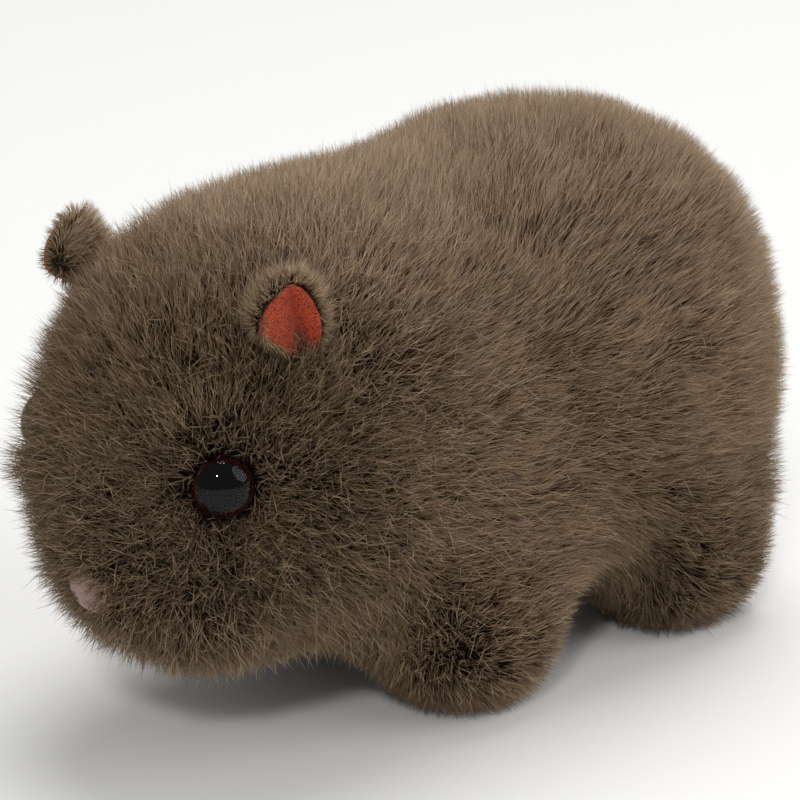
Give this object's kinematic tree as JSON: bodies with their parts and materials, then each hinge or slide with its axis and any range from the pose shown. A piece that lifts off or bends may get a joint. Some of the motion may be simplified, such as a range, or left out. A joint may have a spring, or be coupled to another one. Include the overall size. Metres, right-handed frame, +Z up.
{
  "type": "plush toy wombat",
  "caption": "Stuffed plush wombat toy standing on stubby feet, with short brown pile, small cupped ears with orange linings, domed dark eyes and a padded pinkish-brown felt nose.",
  "frame": {"origin": "on the floor under the middle of the toy's overall width and length", "axes": "+Y from the nose to the rump, so the toy faces -Y; +X towards the toy's left side; +Z up"},
  "size_m": [0.1052, 0.1938, 0.119],
  "materials": {
    "plush_pile": "dense short acrylic pile, brown with paler tips",
    "ear_lining": "fine orange knit velour",
    "eye_plastic": "polished clear dome over a black pupil and dark brown iris",
    "nose_felt": "matt pinkish-brown felt, padded"
  },
  "bodies": {
    "root": {"head": "plush_pile", "torso": "plush_pile", "leg_front_left": "plush_pile", "leg_front_right": "plush_pile", "leg_rear_left": "plush_pile", "leg_rear_right": "plush_pile", "ear_left": "plush_pile", "ear_right": "plush_pile", "ear_lining_left": "ear_lining", "ear_lining_right": "ear_lining", "eye_left": "eye_plastic", "eye_right": "eye_plastic", "nose": "nose_felt"}
  },
  "joints": []
}
